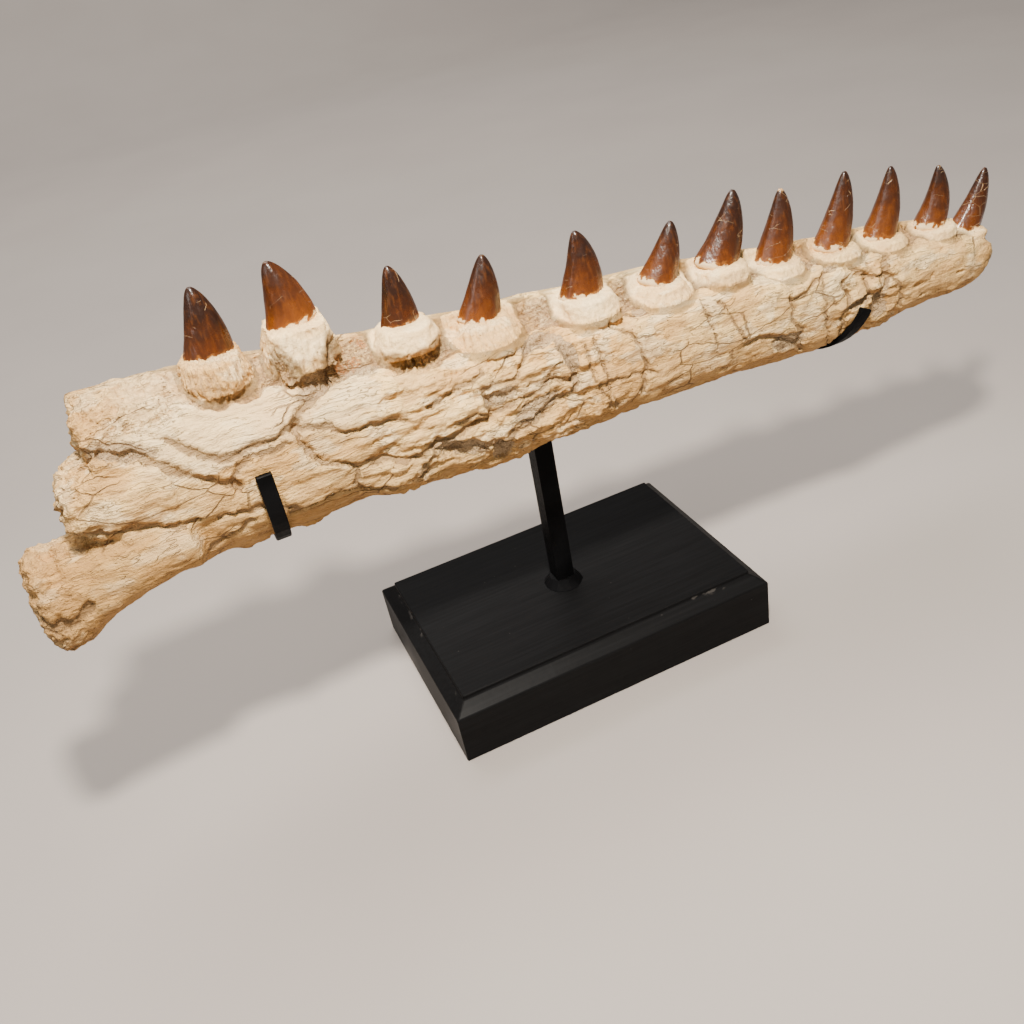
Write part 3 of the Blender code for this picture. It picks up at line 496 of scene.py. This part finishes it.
def modified(mesh, modifier, group=None):
    """The mesh with one modifier applied, and with a vertex group for it to read where one is given."""
    holder = bpy.data.objects.new("holder", mesh)
    bpy.context.scene.collection.objects.link(holder)
    if group:
        name, chosen = group
        holder.vertex_groups.new(name=name).add(np.flatnonzero(chosen).tolist(), 1.0, "REPLACE")
    kind, settings = modifier
    made = holder.modifiers.new(kind, kind)
    for key, value in settings.items():
        setattr(made, key, value)
    bpy.context.view_layer.update()
    result = bpy.data.meshes.new_from_object(holder.evaluated_get(bpy.context.evaluated_depsgraph_get()))
    bpy.data.objects.remove(holder, do_unlink=True)
    return result


def mesh_arrays(mesh):
    """The mesh's vertices and their normals, one row each."""
    points = np.empty(len(mesh.vertices) * 3)
    normals = np.empty(len(mesh.vertices) * 3)
    mesh.vertices.foreach_get("co", points)
    mesh.vertices.foreach_get("normal", normals)
    return points.reshape(-1, 3), normals.reshape(-1, 3)


def jaw_mesh():
    """The jaw and its pedestals as one skin with fine relief and the finish's masks."""
    bm = bmesh.new()
    loft(bm, BODY_STATIONS, BODY_ENDS, edge_drops=EDGE_DROPS)
    loft(bm, MIDDLE_LOBE_STATIONS, MIDDLE_LOBE_ENDS, LOBE_Y)
    loft(bm, LOWER_LOBE_STATIONS, LOWER_LOBE_ENDS, LOBE_Y)
    for tooth, look in zip(TEETH, PEDESTAL_LOOKS):
        add_pedestal(bm, tooth, look[1])
    bmesh.ops.recalc_face_normals(bm, faces=bm.faces)
    plain = bpy.data.meshes.new("plain_form")
    bm.to_mesh(plain)
    bm.free()
    remesh = ("REMESH", {"mode": "VOXEL", "voxel_size": FINE_VOXEL})
    mesh = modified(plain, remesh)
    points, _ = mesh_arrays(mesh)
    mesh.calc_loop_triangles()
    ratio = FINE_TRIANGLES / len(mesh.loop_triangles)
    thin = ("DECIMATE", {"ratio": ratio, "vertex_group": "far side", "use_collapse_triangulate": True})
    mesh = modified(mesh, thin, ("far side", points[:, 1] > JAW_Y + FAR_SIDE_FROM))
    points, normals = mesh_arrays(mesh)
    height, masks = jaw_relief(points / MM)
    moved = kept_in_box(points + normals * height[:, None] * MM)
    mesh.vertices.foreach_set("co", moved.ravel())
    for name, values in masks.items():
        mesh.attributes.new(name, "FLOAT", "POINT").data.foreach_set("value", values)
    mesh.update()
    return mesh


def crown_mesh(tooth, seed):
    """A recurved crown on its base ring, with two blunt edges, faint facets and a worn tip."""
    base_x, base_z, tip_x, tip_z, half_width, bow, *_ = tooth
    base = np.array((base_x, JAW_Y / MM, base_z), float)
    tip = np.array((tip_x, JAW_Y / MM, tip_z), float)
    length = np.linalg.norm(tip - base)
    axis = (tip - base) / length
    across = np.array((0, 1, 0), float)
    along = np.cross(across, axis)
    bm = bmesh.new()
    rises = []
    rings = []
    fine = 1 - np.linspace(1, CROWN_LAST_RING, CROWN_RINGS) ** CROWN_RING_POWER
    heights = np.concatenate([[-CROWN_SINK / length], fine])
    angles = np.linspace(0, 2 * np.pi, CROWN_SIDES, endpoint=False)
    for share in heights:
        width = half_width * (1 - max(share, 0)) ** CROWN_TAPER * (1 if share >= 0 else ROOT_SHARE)
        middle = base + axis * length * share + along * bow * 4 * max(share, 0) * (1 - share)
        ring = []
        for angle in angles:
            c, s = np.cos(angle), np.sin(angle)
            reach = (abs(c) ** CARINA_POWER + abs(s) ** CARINA_POWER) ** (-1 / CARINA_POWER)
            point = middle + reach * width * (along * c + across * s * CROWN_DEPTH_SHARE)
            facet = FACET_DEPTH * np.cos(angle * CROWN_FACETS + seed)
            wear = WEAR_DEPTH * noise.noise(Vector(point / WEAR_SIZE) + Vector((seed, 0, 0)))
            point = middle + (point - middle) * (1 + facet * (1 - max(share, 0)) + wear)
            ring.append(bm.verts.new(kept_in_box(point * MM)))
            rises.append(max(share, 0.0))
        rings.append(ring)
    close_rings(bm, rings)
    bmesh.ops.recalc_face_normals(bm, faces=bm.faces)
    mesh = bpy.data.meshes.new("crown")
    bm.to_mesh(mesh)
    bm.free()
    mesh.attributes.new("rise", "FLOAT", "POINT").data.foreach_set("value", rises)
    return mesh


class Finish:
    """A material and short calls that add nodes to it."""

    def __init__(self, name):
        self.material = bpy.data.materials.new(name)
        self.material.use_nodes = True
        self.tree = self.material.node_tree
        self.shader = self.tree.nodes["Principled BSDF"]
        self.place = self.add("ShaderNodeTexCoord").outputs["Object"]

    def add(self, kind, **inputs):
        """A node with the given inputs: a socket is linked and anything else is set."""
        made = self.tree.nodes.new(kind)
        for name, value in inputs.items():
            self.set(made.inputs[int(name[1:])] if name[0] == "_" else made.inputs[name.replace("_", " ")], value)
        return made

    def set(self, socket, value):
        if isinstance(value, bpy.types.NodeSocket):
            self.tree.links.new(value, socket)
        elif isinstance(value, tuple) and len(value) == 3 and socket.type == "RGBA":
            socket.default_value = (*value, 1.0)
        else:
            socket.default_value = value

    def math(self, operation, a, b=0.0):
        made = self.add("ShaderNodeMath", _0=a, _1=b)
        made.operation = operation
        return made.outputs[0]

    def stretched(self, size, stretch=(1, 1, 1), seed=0.0, place=None):
        """The place scaled so that one unit is this many millimetres, longer along a stretched axis."""
        scale = tuple(1 / (size * MM * k) for k in stretch)
        where = place or self.place
        return self.add("ShaderNodeMapping", Vector=where, Scale=scale, Location=(seed,) * 3).outputs[0]

    def noise(self, size, stretch=(1, 1, 1), detail=2.0, seed=0.0, distortion=0.0, place=None, roughness=0.5):
        where = self.stretched(size, stretch, seed, place=place)
        made = self.add("ShaderNodeTexNoise", Vector=where, Scale=1.0, Detail=detail, Distortion=distortion)
        made.inputs["Roughness"].default_value = roughness
        return made.outputs["Fac"]

    def cells(self, size, stretch=(1, 1, 1), seed=0.0, feature="F1", place=None):
        where = self.stretched(size, stretch, seed, place=place)
        made = self.add("ShaderNodeTexVoronoi", Vector=where, Scale=1.0)
        made.feature = feature
        return made.outputs["Distance"]

    def ramp(self, value, low, high, to=(0.0, 1.0)):
        """The value from low to high turned into to, held at both ends."""
        made = self.add("ShaderNodeMapRange", Value=value, _1=low, _2=high, _3=to[0], _4=to[1])
        return made.outputs[0]

    def mix(self, share, a, b):
        made = self.tree.nodes.new("ShaderNodeMix")
        made.data_type = "RGBA"
        for socket, value in zip((made.inputs[0], made.inputs[6], made.inputs[7]), (share, a, b)):
            self.set(socket, value)
        return made.outputs[2]

    def attribute(self, name):
        made = self.tree.nodes.new("ShaderNodeAttribute")
        made.attribute_name = name
        return made.outputs["Fac"]

    def warped(self, amount, size):
        """The place pushed about by noise, so that cells drawn there have ragged edges."""
        where = self.stretched(size)
        made = self.add("ShaderNodeTexNoise", Vector=where, Scale=1.0, Detail=3.0)
        off = self.add("ShaderNodeVectorMath", _0=made.outputs["Color"], _1=(0.5, 0.5, 0.5))
        off.operation = "SUBTRACT"
        push = self.add("ShaderNodeVectorMath", _0=off.outputs[0])
        push.operation = "SCALE"
        push.inputs["Scale"].default_value = amount * MM * 2
        total = self.add("ShaderNodeVectorMath", _0=self.place, _1=push.outputs[0])
        return total.outputs[0]

    def bump(self, *layers):
        """Surface normals from layers, each a value and the millimetres that its step from 0 to 1 stands for."""
        total = 0.0
        for value, depth in layers:
            added = self.add("ShaderNodeMath", _0=value, _1=float(depth), _2=total)
            added.operation = "MULTIPLY_ADD"
            total = added.outputs[0]
        return self.add("ShaderNodeBump", Height=total, Distance=MM, Strength=1.0).outputs[0]

    def surface(self, **inputs):
        for name, value in inputs.items():
            self.set(self.shader.inputs[name.replace("_", " ")], value)
        return self.material


def bone_finish():
    """Cream fibrous bone with brown cracks, grey rock between the plates, spongy broken ends and white stubs, and
    painted shade on faces that turn down, on the lower front, in the channel, down the grooves and in small pits.
    """
    f = Finish("bone_surface")
    seam, rock, broken, channel = (f.attribute(name) for name in ("seam", "rock", "broken", "channel"))
    white, blotch, patch = (f.attribute(name) for name in ("white", "blotch", "patch"))
    crack_zone, rust = (f.attribute(name) for name in ("crack_zone", "rust"))
    normal_z = f.add("ShaderNodeSeparateXYZ", Vector=f.add("ShaderNodeNewGeometry").outputs["Normal"]).outputs[2]
    stub, tan = f.attribute("stub"), f.attribute("tan")
    level = f.math("SUBTRACT", 1.0, stub)
    fibre_place = f.warped(3.0, 22)
    lines_place = f.add("ShaderNodeMix", _0=stub)
    lines_place.data_type = "VECTOR"
    f.set(lines_place.inputs[4], f.stretched(1.25, (13, 1, 1), place=fibre_place))
    f.set(lines_place.inputs[5], f.stretched(1.3, (1, 1, 8)))
    fibres = f.add("ShaderNodeTexNoise", Vector=lines_place.outputs[1], Scale=1.0, Detail=3.0, Roughness=0.65)
    fibres = fibres.outputs["Fac"]
    long_fibres = f.noise(3.2, (9, 1, 1), 2.0, seed=4.0, place=fibre_place)
    furrows = f.ramp(f.math("ABSOLUTE", f.math("SUBTRACT", long_fibres, 0.5)), 0.016, 0.004)
    furrows = f.math("MULTIPLY", f.math("MULTIPLY", furrows, level), f.ramp(patch, -0.35, 0.05))
    grain = f.noise(0.8, detail=2.0, seed=1.0)
    edge_noise = f.noise(1.8, detail=3.0, seed=6.0, roughness=0.6)
    ragged = f.math("MULTIPLY", f.math("SUBTRACT", edge_noise, 0.5), 3.4)
    to_seam = f.math("ADD", seam, ragged)
    seam_mask = f.ramp(to_seam, 0.3, -0.3)
    groove_shade = f.ramp(to_seam, 2.4, 0.0)
    rock_mask = f.ramp(f.math("ADD", rock, f.math("MULTIPLY", ragged, 1.3)), 0.4, -0.4)
    crack_place = f.warped(1.6, 8)
    crack_edges = f.cells(15, (2.6, 1, 1), 3.0, "DISTANCE_TO_EDGE", crack_place)
    cracks = f.math("MULTIPLY", f.ramp(crack_edges, 0.022, 0.006), crack_zone)
    sponge = f.cells(2.4, (1.4, 1, 1), 1.0, "F1", crack_place)
    # Small pits, painted dark as shade in them.
    shaded_pits = f.ramp(f.cells(7.5, seed=9.0, place=crack_place), 0.062, 0.04)

    cream, sand, ochre, brown = (0.92, 0.62, 0.25), (0.77, 0.445, 0.145), (0.50, 0.24, 0.06), (0.22, 0.11, 0.04)
    colour = f.mix(f.ramp(blotch, -0.25, 0.3), cream, sand)
    colour = f.mix(f.ramp(patch, 0.1, 0.35, (0.0, 0.7)), colour, (0.94, 0.71, 0.385))
    colour = f.mix(f.ramp(patch, -0.1, -0.4, (0.0, 0.5)), colour, (0.64, 0.37, 0.14))
    # Ochre where the faces turn down: partly the bone's own ochre, partly painted shade below.
    ochre_and_shade_below = f.math("MULTIPLY", f.ramp(normal_z, 0.1, -0.5), f.ramp(patch, -0.4, 0.1, (0.55, 0.95)))
    colour = f.mix(ochre_and_shade_below, colour, ochre)
    # Tan on the lower lobe, towards the back end and over the lower front face: the bone's own tan, and on the
    # lower front face partly painted shade as well.
    tan_and_shade_low_front = f.math("MULTIPLY", tan, f.ramp(patch, -0.4, 0.4, (0.85, 0.5)))
    colour = f.mix(tan_and_shade_low_front, colour, (0.46, 0.24, 0.065))
    colour = f.mix(f.ramp(fibres, 0.46, 0.3, (0.0, 0.65)), colour, (0.34, 0.18, 0.075))
    colour = f.mix(f.ramp(long_fibres, 0.42, 0.28, (0.0, 0.45)), colour, (0.42, 0.24, 0.10))
    # The channel behind the plate turns dark brown: partly its rough rock, partly painted shade in that recess.
    channel_rock_and_shade = f.math("MULTIPLY", channel, f.ramp(edge_noise, 0.65, 0.4, (0.25, 0.95)))
    colour = f.mix(channel_rock_and_shade, colour, (0.30, 0.185, 0.09))
    colour = f.mix(f.math("MULTIPLY", white, 0.85), colour, (0.94, 0.71, 0.39))
    ribbed = f.math("MULTIPLY", f.math("MULTIPLY", stub, f.ramp(white, 0.3, 0.0)),
                    f.ramp(fibres, 0.54, 0.40, (0.0, 0.7)))
    colour = f.mix(ribbed, colour, (0.50, 0.30, 0.13))
    spongy = f.math("MAXIMUM", broken, f.math("MULTIPLY", channel, 0.6))
    holes = f.math("MULTIPLY", spongy, f.ramp(sponge, 0.3, 0.6))
    colour = f.mix(f.math("MULTIPLY", holes, 0.4), colour, (0.32, 0.18, 0.075))
    rock_colour = f.mix(f.ramp(grain, 0.3, 0.7), (0.31, 0.20, 0.105), (0.56, 0.40, 0.225))
    # Darker brown down the grooves' sides beside their filling: painted shade in the grooves.
    colour = f.mix(f.math("MULTIPLY", groove_shade, 0.35), colour, (0.45, 0.28, 0.12))
    colour = f.mix(f.math("MULTIPLY", seam_mask, 0.65), colour, (0.25, 0.15, 0.07))
    colour = f.mix(f.math("MULTIPLY", rock_mask, 0.85), colour, rock_colour)
    # Cracks and fibre furrows in dark brown, and small pits painted dark: painted shade in the pits.
    dark_lines_and_pit_shade = f.math("MAXIMUM", f.math("MAXIMUM", cracks, shaded_pits), f.math("MULTIPLY", furrows, 0.75))
    colour = f.mix(f.math("MULTIPLY", dark_lines_and_pit_shade, 0.8), colour, (0.16, 0.085, 0.035))
    speckled = f.math("MULTIPLY", channel, f.ramp(grain, 0.4, 0.6))
    rust = f.math("MULTIPLY", f.ramp(rust, 0.1, 0.3, (0.0, 0.8)), speckled)
    colour = f.mix(rust, colour, (0.42, 0.14, 0.03))
    colour = f.mix(f.math("MULTIPLY", f.ramp(edge_noise, 0.40, 0.28), 0.35), colour, brown)

    rib_depth = f.math("ADD", level, f.math("MULTIPLY", stub, f.ramp(white, 0.0, 0.35, (1.7, 0.35))))
    normal = f.bump(
        (grain, 0.4), (f.math("MULTIPLY", fibres, rib_depth), 1.0), (f.math("MULTIPLY", long_fibres, level), 0.7),
        (edge_noise, 0.7),
        (f.math("MULTIPLY", sponge, f.math("MAXIMUM", broken, channel)), -0.8),
        (f.math("MULTIPLY", f.math("MAXIMUM", f.math("MAXIMUM", rock_mask, channel), broken), edge_noise), 1.5),
        (seam_mask, -0.7), (dark_lines_and_pit_shade, -0.8),
    )
    return f.surface(Base_Color=colour, Roughness=f.ramp(fibres, 0.2, 0.8, (0.9, 0.66)), Normal=normal,
                     Specular_IOR_Level=0.3)


def enamel_finish(number, look):
    """Glossy enamel, orange by the gum and near black at the tip, with pale crackle lines."""
    dark, crackle, chipped, seed = look
    f = Finish(f"enamel_{number:02d}")
    rise = f.attribute("rise")
    streaks = f.noise(1.6, (1, 1, 9), 3.0, seed=seed)
    mottle = f.noise(6, detail=3.0, seed=seed * 2.0)
    shift = f.math("MULTIPLY", f.math("SUBTRACT", mottle, 0.5), 0.9)
    tone = f.math("ADD", f.math("ADD", rise, shift), (dark - 0.36) * 0.8)
    colour = f.mix(f.ramp(tone, 0.0, 0.5), (0.15, 0.042, 0.005), (0.066, 0.017, 0.003))
    colour = f.mix(f.ramp(tone, 0.45, 1.0), colour, (0.018, 0.006, 0.0025))
    colour = f.mix(f.ramp(streaks, 0.5, 0.72, (0.0, 0.25)), colour, (0.20, 0.06, 0.008))
    colour = f.mix(f.ramp(streaks, 0.46, 0.3, (0.0, 0.25)), colour, (0.03, 0.009, 0.003))
    jagged = f.math("MULTIPLY", f.math("SUBTRACT", f.noise(4, detail=3.0, seed=seed + 9.0), 0.4), 0.35)
    gum = f.ramp(f.math("SUBTRACT", rise, jagged), 0.05, 0.0, (0.0, 0.6))
    colour = f.mix(gum, colour, (0.42, 0.17, 0.035))
    collar = f.ramp(f.math("SUBTRACT", rise, jagged), 0.012, 0.0)
    colour = f.mix(collar, colour, (0.70, 0.50, 0.27))
    lines = f.cells(8.5, (1.6, 1.6, 0.8), seed, "DISTANCE_TO_EDGE", f.warped(1.2, 5))
    zone = f.ramp(f.noise(9, detail=1.0, seed=seed + 5.0), 0.66 - 0.2 * crackle, 0.72 - 0.2 * crackle)
    lines = f.math("MULTIPLY", f.ramp(lines, 0.014, 0.004), zone)
    colour = f.mix(f.math("MULTIPLY", lines, 0.6), colour, (0.62, 0.40, 0.2))
    worn_tip = f.math("ADD", rise, f.math("MULTIPLY", shift, 0.08))
    worn_tip = f.ramp(worn_tip, 0.985 - 0.05 * chipped, 1.0 - 0.04 * chipped)
    colour = f.mix(f.math("MULTIPLY", worn_tip, min(1.0, chipped * 1.6)), colour, (0.62, 0.36, 0.15))
    normal = f.bump((streaks, 0.3), (mottle, 0.5), (lines, -0.3), (collar, -0.4))
    rough = f.math("MAXIMUM", f.ramp(mottle, 0.3, 0.7, (0.22, 0.38)), f.math("MULTIPLY", collar, 0.8))
    return f.surface(Base_Color=colour, Roughness=rough, Normal=normal, Specular_IOR_Level=0.4, Coat_Weight=0.12,
                     Coat_Roughness=0.1)


def paint_finish():
    """Black satin paint with the wood's grain just showing, and pale nicks along the chamfer."""
    f = Finish("board_paint")
    grain = f.noise(1.1, (40, 1.6, 1), 3.0, distortion=0.4)
    broad = f.noise(60, (2, 1, 1), 2.0, seed=3.0)
    specks = f.ramp(f.cells(9, seed=4.0), 0.045, 0.03)
    height = f.add("ShaderNodeSeparateXYZ", Vector=f.place).outputs[2]
    edge = f.math("MULTIPLY", f.ramp(height, 0.0388, 0.0402), f.ramp(height, 0.0425, 0.0409))
    nicks = f.math("MULTIPLY", edge, f.ramp(f.noise(3.5, (3, 3, 1), 3.0, seed=7.0), 0.66, 0.7))
    wear = f.math("MAXIMUM", f.math("MULTIPLY", specks, f.ramp(broad, 0.5, 0.6)), nicks)
    colour = f.mix(f.ramp(grain, 0.35, 0.7), (0.0045, 0.0045, 0.0047), (0.007, 0.007, 0.0074))
    colour = f.mix(f.math("MULTIPLY", wear, 0.2), colour, (0.2, 0.18, 0.16))
    normal = f.bump((grain, 0.05), (f.noise(5, detail=2.0), 0.06))
    rough = f.ramp(broad, 0.35, 0.65, (0.4, 0.52))
    return f.surface(Base_Color=colour, Roughness=rough, Normal=normal, Specular_IOR_Level=0.06)


def steel_finish():
    """Black satin coating on steel, a little pitted."""
    f = Finish("steel_coating")
    pitted = f.noise(1.5, detail=3.0)
    broad = f.noise(25, detail=2.0, seed=5.0)
    colour = f.mix(f.ramp(broad, 0.4, 0.6), (0.0025, 0.0025, 0.0027), (0.005, 0.005, 0.0055))
    normal = f.bump((pitted, 0.1))
    rough = f.ramp(pitted, 0.3, 0.7, (0.4, 0.55))
    return f.surface(Base_Color=colour, Roughness=rough, Normal=normal, Specular_IOR_Level=0.04)


def floor_finish():
    """Pale warm grey, matt and almost even."""
    f = Finish("floor_surface")
    tone = f.noise(220, detail=2.0)
    colour = f.mix(f.ramp(tone, 0.35, 0.65), (0.357, 0.317, 0.287), (0.371, 0.331, 0.299))
    return f.surface(Base_Color=colour, Roughness=0.85, Normal=f.bump((f.noise(1.5), 0.02)))


def add_floor():
    """A pale floor that curves up far behind the part."""
    size, bend_from, bend, steps, top = 6.0, 2.2, 1.2, 24, 4.0
    profile = [(-size, 0.0), (bend_from, 0.0)]
    for k in range(1, steps + 1):
        turn = np.pi / 2 * k / steps
        profile.append((bend_from + bend * np.sin(turn), bend * (1 - np.cos(turn))))
    profile.append((bend_from + bend, top))
    verts, faces = [], []
    for y, z in profile:
        verts += [(-size, y, z), (size, y, z)]
    for k in range(len(profile) - 1):
        faces.append((2 * k, 2 * k + 1, 2 * k + 3, 2 * k + 2))
    mesh = bpy.data.meshes.new("floor")
    mesh.from_pydata(verts, [], faces)
    mesh.materials.append(floor_finish())
    mesh.shade_smooth()
    floor = bpy.data.objects.new("floor", mesh)
    bpy.context.scene.collection.objects.link(floor)


def add_light(name, place, target, size, power, colour):
    """A soft disk of light aimed at the target."""
    data = bpy.data.lights.new(name, "AREA")
    data.shape = "DISK"
    data.size = size
    data.energy = power
    data.color = colour
    made = bpy.data.objects.new(name, data)
    made.location = place
    made.rotation_euler = (Vector(target) - Vector(place)).to_track_quat("-Z", "Y").to_euler()
    bpy.context.scene.collection.objects.link(made)


def add_lights():
    """Soft light all round, and three disks: one close above the front, one high up behind, one at the left."""
    world = bpy.data.worlds.new("studio")
    world.use_nodes = True
    world.node_tree.nodes["Background"].inputs["Color"].default_value = (1.0, 0.975, 0.95, 1)
    world.node_tree.nodes["Background"].inputs["Strength"].default_value = 0.32
    bpy.context.scene.world = world
    add_light("key", (-0.115, -0.39, 0.80), (0.0, -0.03, 0.2), 0.07, 15.0, (1.0, 0.93, 0.84))
    add_light("overhead", (-0.3, 1.1, 2.8), (0.0, 0.8, 0.1), 2.4, 118, (1.0, 0.97, 0.94))
    add_light("left", (-1.5, -0.6, 1.0), (0.0, 0.0, 0.2), 0.7, 5.5, (1.0, 0.97, 0.93))


def add_camera():
    """The photograph's own view, fitted to the corners of the board's base, side, chamfer and panel."""
    data = bpy.data.cameras.new("camera")
    data.lens = CAMERA_LENS
    data.sensor_width = CAMERA_SENSOR
    camera = bpy.data.objects.new("camera", data)
    turn = Matrix((CAMERA_RIGHT, CAMERA_UP, CAMERA_BACK)).transposed()
    camera.matrix_world = Matrix.Translation(CAMERA_PLACE) @ turn.to_4x4()
    bpy.context.scene.collection.objects.link(camera)
    bpy.context.scene.camera = camera


def dress_solids():
    """New finishes on the solids that stay."""
    paint, steel = paint_finish(), steel_finish()
    for name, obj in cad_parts.items():
        if name == "base_board":
            finish = paint
        elif name in ("post", "rail", "clip_left", "clip_right"):
            finish = steel
        else:
            continue
        for slot in obj.material_slots:
            slot.material = finish


def main():
    jaw = mesh_piece("jaw_surface", jaw_mesh(), bone_finish())
    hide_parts("jaw_bone")
    for number, (tooth, look) in enumerate(zip(TEETH, CROWN_LOOKS), 1):
        crown = mesh_piece(f"crown_surface_{number:02d}", crown_mesh(tooth, look[3]), enamel_finish(number, look))
        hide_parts(f"tooth_crown_{number:02d}")
    dress_solids()
    add_floor()
    add_lights()
    add_camera()


main()
